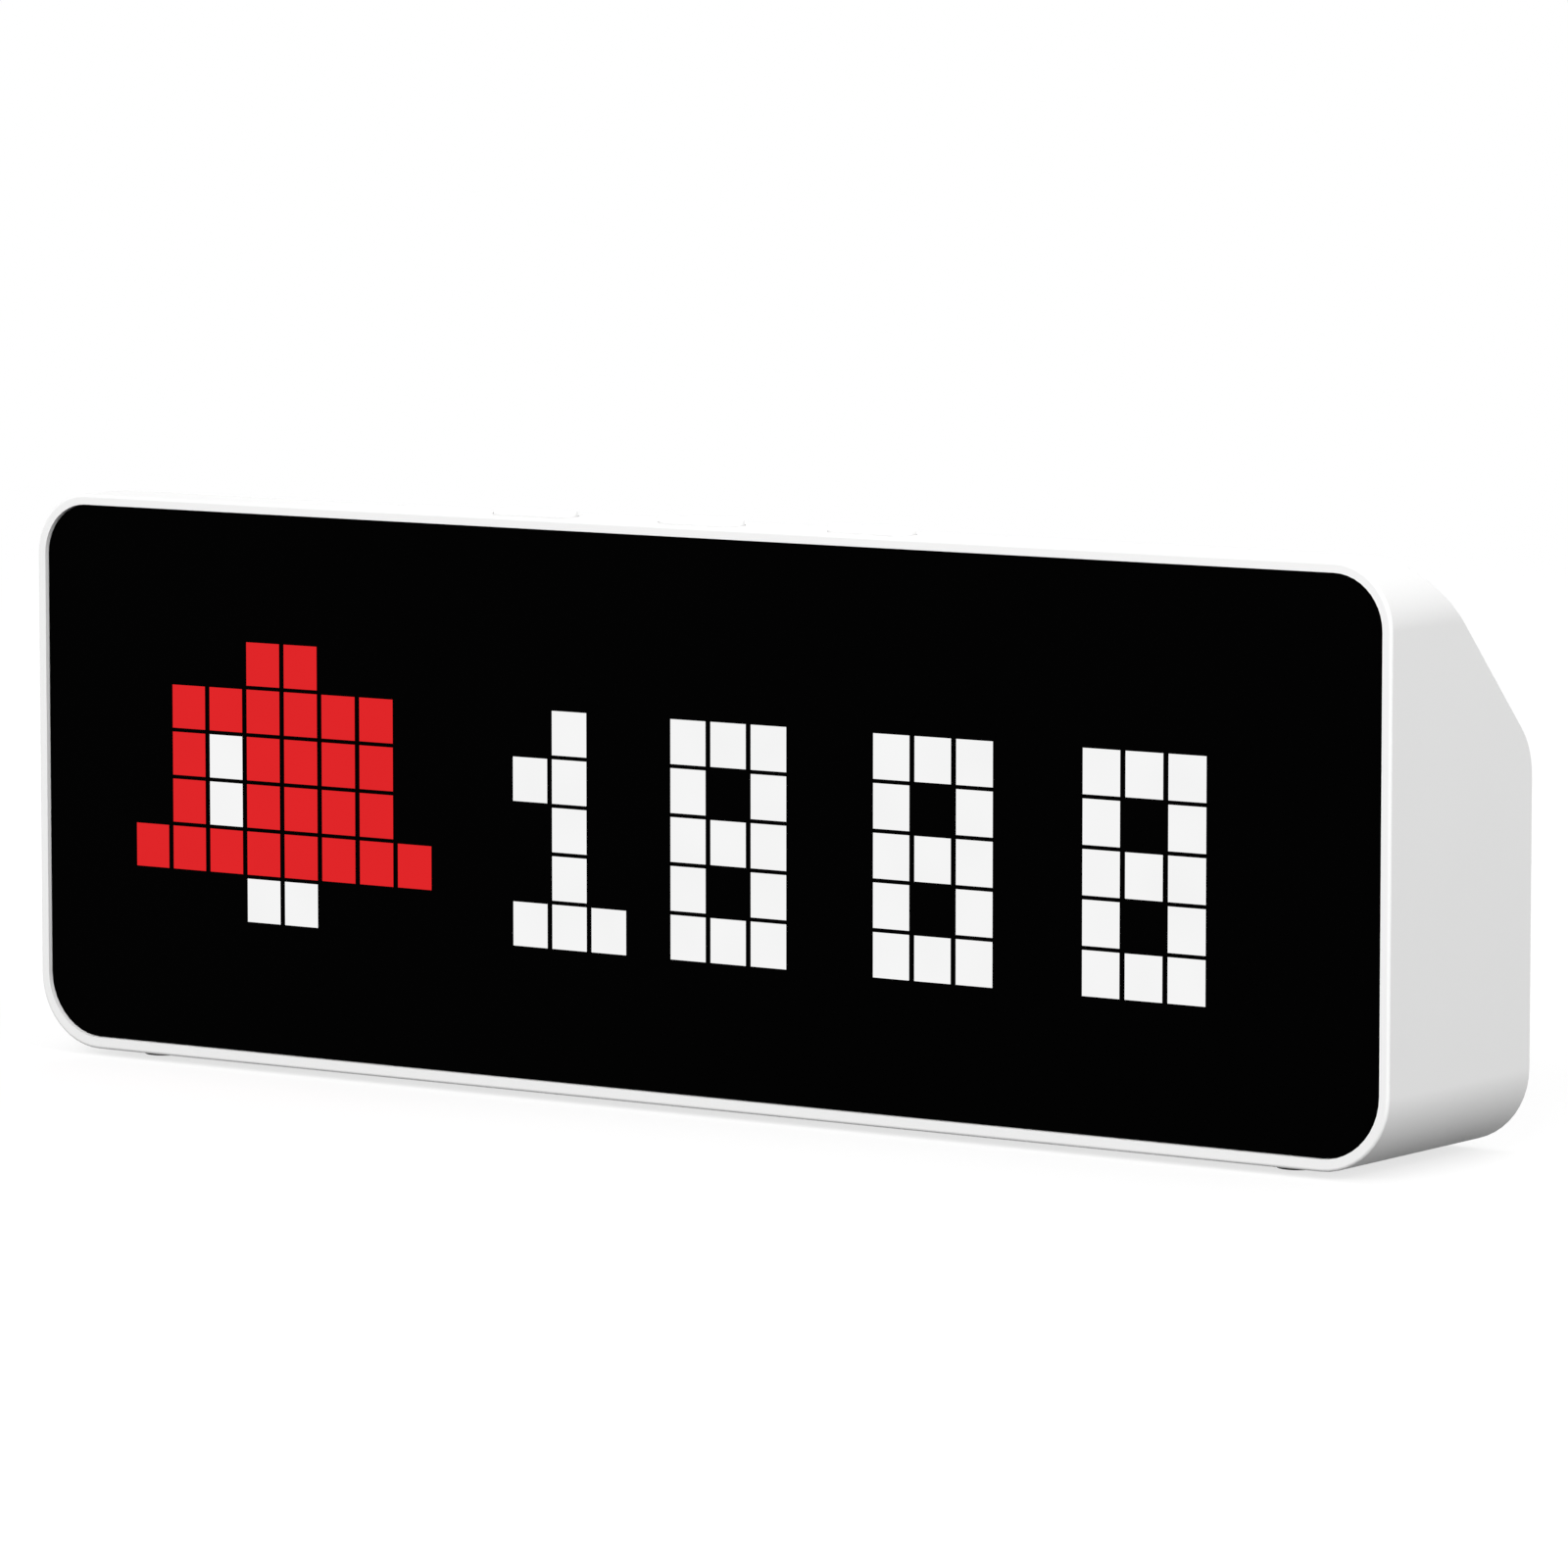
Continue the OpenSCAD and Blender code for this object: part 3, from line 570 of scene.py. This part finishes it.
# Each row holds a slot's colour, its roughness and the size of its blotches.
INNER = {
    "tape_grey": ((0.12, 0.12, 0.12), 0.8, 1.0 * MM),
    "film_white": ((0.80, 0.80, 0.78), 0.5, 3.0 * MM),
    "inner_black": ((0.02, 0.02, 0.021), 0.5, 0.4 * MM),
    "board_green": ((0.012, 0.10, 0.035), 0.38, 2.0 * MM),
    "board_blue": ((0.012, 0.03, 0.13), 0.38, 2.0 * MM),
    "led_white": ((0.78, 0.78, 0.72), 0.3, 1.0 * MM),
    "sensor_gold": ((0.45, 0.32, 0.06), 0.3, 0.5 * MM),
    "plunger_grey": ((0.08, 0.08, 0.085), 0.45, 0.5 * MM),
    "ribbon_white": ((0.72, 0.72, 0.72), 0.4, 1.0 * MM),
    "connector_ivory": ((0.68, 0.62, 0.50), 0.45, 0.8 * MM),
    "battery_blue": ((0.03, 0.08, 0.34), 0.3, 4.0 * MM),
    "wire_red": ((0.42, 0.02, 0.02), 0.4, 0.6 * MM),
}
inner_finish = {slot: plain_finish(slot + "_finish", *facts) for slot, facts in INNER.items()}
for slot in ("screw_steel", "switch_steel", "socket_steel"):
    inner_finish[slot] = steel
for subpart in frame["record"]["subparts"]:
    if subpart["material_slot"] in inner_finish:
        dress(nodes[subpart["node"]], inner_finish[subpart["material_slot"]])
print("inner finishes:", len(inner_finish))

# %% [markdown]
# ## The studio
# The photograph is a bright packshot on white. A wide soft box in front lights the rim, a weaker
# one at the right lights the end of the case, and a faint one overhead adds to what both give the
# top. Two low ones, behind and at the left, keep the white back and the left end from going grey,
# and hardly reach the top. More light would whiten the background too, but it would also bleach the
# case. So the floor is pale and keeps the shadow, and fades out into a white world. Both show
# brighter to the camera and in reflections than they light the clock.

# %% Floor
FLOOR_RADIUS, FLOOR_FADE = 0.9, 0.3
FLOOR_POINTS = 96
FLOOR_DROP = 0.2 * MM
FLOOR_BOUNCE = 0.10
FLOOR_GREY = 0.30
FLOOR_LIFT = 0.72


def floor_paper():
    """Paper that is brighter where it is seen, and clear towards its rim."""
    finish = Finish("floor_paper")
    seen = finish.seen()
    grey = FLOOR_BOUNCE + (FLOOR_GREY - FLOOR_BOUNCE) * seen
    finish.set(Base_Color=grey, Roughness=0.9, Specular_IOR_Level=0.0)
    length = {"operation": "LENGTH"}
    away = finish.node("ShaderNodeVectorMath", length, {0: finish.object_place}, output="Value")
    smooth = {"interpolation_type": "SMOOTHSTEP"}
    reach = {"From Min": FLOOR_FADE, "From Max": FLOOR_RADIUS, "To Min": 1.0, "To Max": 0.0}
    fade = finish.node("ShaderNodeMapRange", smooth, {"Value": away, **reach})
    paper = Value(finish, finish.shader.outputs["BSDF"])
    glow = finish.node("ShaderNodeEmission", inputs={"Strength": FLOOR_LIFT * seen})
    body = finish.node("ShaderNodeAddShader", inputs={0: paper, 1: glow})
    clear = finish.node("ShaderNodeBsdfTransparent")
    mixed = finish.node("ShaderNodeMixShader", inputs={"Fac": fade, 1: clear, 2: body})
    finish.link(mixed, finish.tree.nodes["Material Output"].inputs["Surface"])
    return finish.material


def studio_floor():
    """A round floor just under the feet."""
    turns = [2 * math.pi * point / FLOOR_POINTS for point in range(FLOOR_POINTS)]
    ring = [
        (FLOOR_RADIUS * math.cos(turn), FLOOR_RADIUS * math.sin(turn), -FLOOR_DROP)
        for turn in turns
    ]
    mesh = bpy.data.meshes.new("studio_floor")
    mesh.from_pydata(ring, [], [range(FLOOR_POINTS)])
    floor = new_object("studio_floor", mesh)
    dress(floor, floor_paper())
    floor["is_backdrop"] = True


studio_floor()
print("floor radius", FLOOR_RADIUS, "m")

# %% World
WORLD_LIGHT = 0.57


def studio_world():
    """A white world that lights the clock at less than the strength it shows."""
    world = bpy.data.worlds.new("studio_white")
    bpy.context.scene.world = world
    world.use_nodes = True
    sky = Network(world.node_tree)
    background = sky.tree.nodes["Background"]
    sky.link((1.0, 1.0, 1.0, 1.0), background.inputs["Color"])
    sky.link(WORLD_LIGHT + (1 - WORLD_LIGHT) * sky.seen(), background.inputs["Strength"])


studio_world()
print("world lights at", WORLD_LIGHT)

# %% Soft boxes
# Each row holds a box's place and width in metres, and its power in watts.
SOFT_BOXES = {
    "overhead": ((0.0, -0.10, 1.0), 1.0, 0.3),
    "front": ((0.40, -2.20, 1.00), 1.6, 44.0),
    "end": ((2.10, -0.45, 1.15), 1.4, 26.0),
    "left": ((-2.10, 0.25, 0.32), 0.8, 10.0),
    "rear": ((-0.90, 2.00, 0.35), 0.8, 20.0),
}


def soft_box(name, place, width, watts):
    """A square lamp that faces the middle of the case."""
    lamp = bpy.data.lights.new(name, "AREA")
    lamp.shape = "SQUARE"
    lamp.size = width
    lamp.energy = watts
    holder = new_object(name, lamp)
    holder.location = place
    holder.rotation_euler = (case_middle - Vector(place)).to_track_quat("-Z", "Y").to_euler()


for name, facts in SOFT_BOXES.items():
    soft_box(name, *facts)
print("soft boxes:", ", ".join(SOFT_BOXES))

# %% [markdown]
# ## The camera
# A camera could be moved by eye until the view looks right, but turn, distance and lens all change
# the outline together. Here they were fitted to the corners of the panel and the rear edge in the
# photograph: turned about 35 degrees to the clock's right, 6 degrees above level, a long lens about
# a metre away. The camera looks at a point a little right of and above the middle of the front.

# %% Camera
SENSOR = 36.0
FRAME_PIXELS = 1600
FOCAL_PIXELS = 8867.3
NEAR_CLIP = 0.01
TURN, RISE = math.radians(35.159), math.radians(6.037)
DISTANCE = 1039.94 * MM
AIM_OFFSET = Vector((15.673 * MM, 0.0, 5.056 * MM))

lens = bpy.data.cameras.new("photo_camera")
lens.sensor_width = SENSOR
lens.lens = FOCAL_PIXELS / FRAME_PIXELS * SENSOR
lens.clip_start = NEAR_CLIP
aim = Vector((case_middle.x, case_low.y, case_middle.z)) + AIM_OFFSET
level = math.cos(RISE)
back = Vector((math.sin(TURN) * level, -math.cos(TURN) * level, math.sin(RISE)))
camera = new_object("photo_camera", lens)
camera.location = aim + DISTANCE * back
camera.rotation_euler = back.to_track_quat("Z", "Y").to_euler()
bpy.context.scene.camera = camera
bpy.context.scene.view_settings.view_transform = "Standard"
print("lens", round(lens.lens, 1), "mm")

# %% [markdown]
# ## Measuring the result
# Rounded edges and tiles could leave the clock larger or smaller than its model. A look at the
# render wouldn't show a tenth of a millimetre, so the box of the dressed clock is worked out and
# printed, and kept beside the box of the bare model.

# %% Size and finish
dressed_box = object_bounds()
sizes = {
    "cad": [list(corner) for corner in cad_box],
    "dressed": [list(corner) for corner in dressed_box],
}
print("dressed box", sizes["dressed"])
